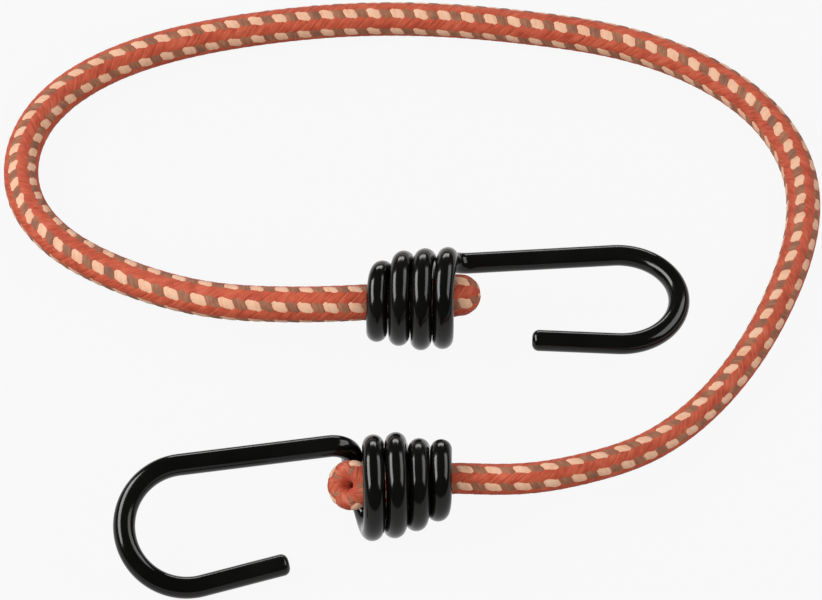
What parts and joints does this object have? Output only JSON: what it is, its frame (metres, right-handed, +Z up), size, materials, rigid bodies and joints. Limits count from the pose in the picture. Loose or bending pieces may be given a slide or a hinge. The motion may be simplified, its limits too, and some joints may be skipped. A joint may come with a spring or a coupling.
{
  "type": "bungee cord",
  "caption": "Bungee cord: a braided elastic cord lying in an open loop, with a black coiled wire hook turning on each end.",
  "frame": {"origin": "on the surface that the part lies on, under the middle of the box round the two hooks", "axes": "+Z up from the surface, +X along the hooks towards hook A's bend, +Y from hook B towards hook A and the loop's far side"},
  "size_m": [0.1879, 0.1772, 0.0218],
  "materials": {
    "braid": "woven red-orange braid with cream and dark flecks",
    "latex": "matte natural rubber",
    "hook_wire": "glossy black dipped coating",
    "clip_wire": "zinc-plated wire"
  },
  "bodies": {
    "cord": {"braided_cover": "braid", "rubber_strand_01": "latex", "rubber_strand_02": "latex", "rubber_strand_03": "latex", "rubber_strand_04": "latex", "rubber_strand_05": "latex", "rubber_strand_06": "latex", "rubber_strand_07": "latex", "rubber_strand_08": "latex", "rubber_strand_09": "latex", "rubber_strand_10": "latex", "rubber_strand_11": "latex", "rubber_strand_12": "latex", "cord_clip_a": "clip_wire"},
    "hook_a": {"wire_hook_a": "hook_wire"},
    "end_b": {"cord_clip_b": "clip_wire"},
    "hook_b": {"wire_hook_b": "hook_wire"}
  },
  "joints": [
    {"name": "swivel_a", "type": "hinge", "parent": "cord", "child": "hook_a", "pos_m": [0.0096, 0.0313, 0.01065], "axis": [0.9973, 0.0732, 0], "continuous": true},
    {"name": "stretch", "type": "slide", "parent": "cord", "child": "end_b", "axis": [-0.9871, -0.1599, 0], "range_m": [0, 0.08], "stiffness_N_per_m": 800, "deforming": ["braided_cover", "rubber_strand_01", "rubber_strand_02", "rubber_strand_03", "rubber_strand_04", "rubber_strand_05", "rubber_strand_06", "rubber_strand_07", "rubber_strand_08", "rubber_strand_09", "rubber_strand_10", "rubber_strand_11", "rubber_strand_12"]},
    {"name": "swivel_b", "type": "hinge", "parent": "end_b", "child": "hook_b", "pos_m": [-0.0106, -0.0239, 0.01065], "axis": [-0.9871, -0.1599, 0], "continuous": true}
  ]
}
